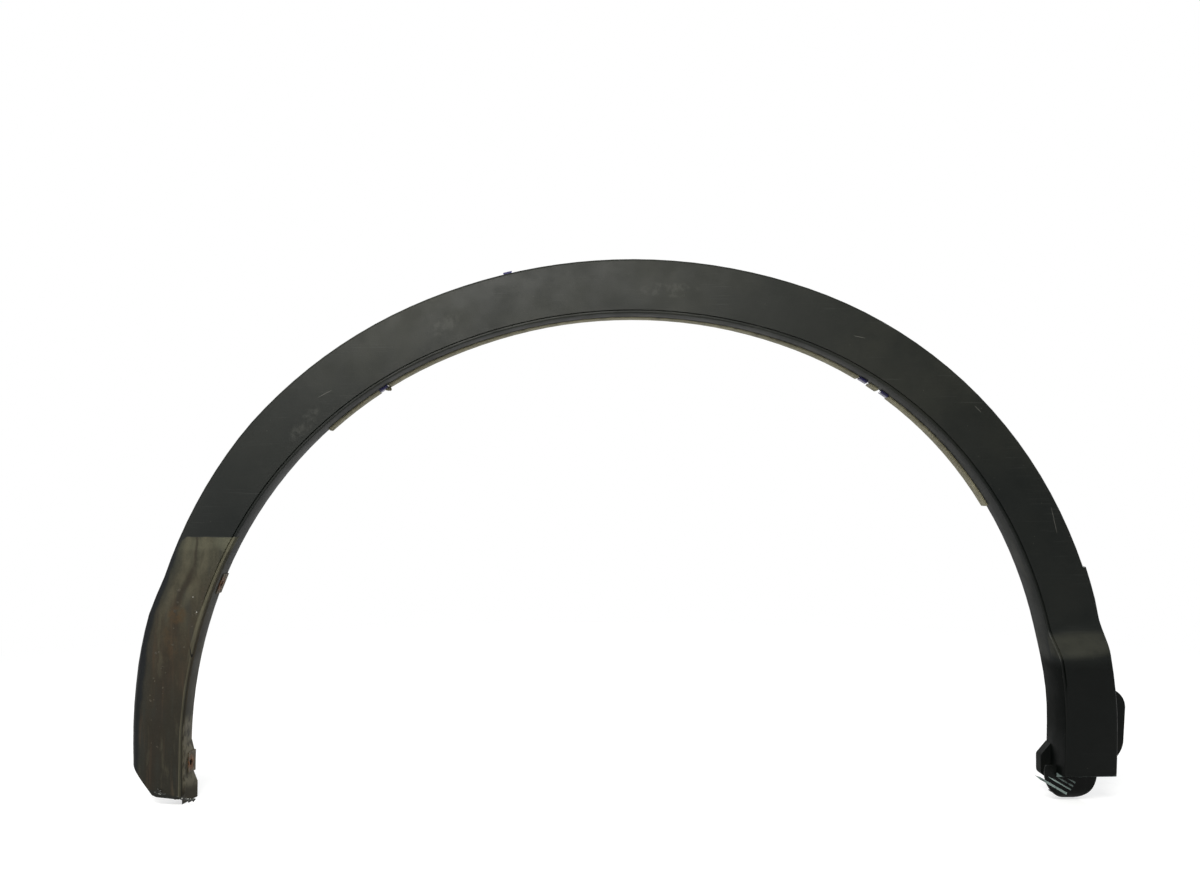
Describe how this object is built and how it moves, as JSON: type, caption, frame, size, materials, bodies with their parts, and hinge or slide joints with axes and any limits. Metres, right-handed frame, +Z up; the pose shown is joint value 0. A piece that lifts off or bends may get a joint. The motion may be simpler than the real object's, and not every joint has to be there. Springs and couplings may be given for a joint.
{
  "type": "wheel arch trim",
  "caption": "Arched moulded plastic trim for a car's wheel opening, with an inner flange, a proud stepped foot, a ribbed tongue, foam sealing strips, push-on clips and spring nuts.",
  "frame": {"origin": "on the axis of the crown clip, in the plane of the body panel that the trim is fixed to", "axes": "+X towards the stepped foot, along the car; +Y into the car; +Z up"},
  "size_m": [1.0026, 0.067, 0.546],
  "materials": {
    "grained_black": "finely grained, weathered",
    "clip_blue": "smooth moulded",
    "rusty_steel": "rusted sheet steel",
    "foam": "closed-cell foam strip"
  },
  "bodies": {
    "root": {"arch_moulding": "grained_black", "body_clips": "clip_blue", "edge_clips": "clip_blue", "spring_nuts": "rusty_steel", "left_seal_strip": "foam", "crown_seal_strip": "foam", "short_seal_strip": "foam", "right_seal_strip": "foam"}
  },
  "joints": []
}
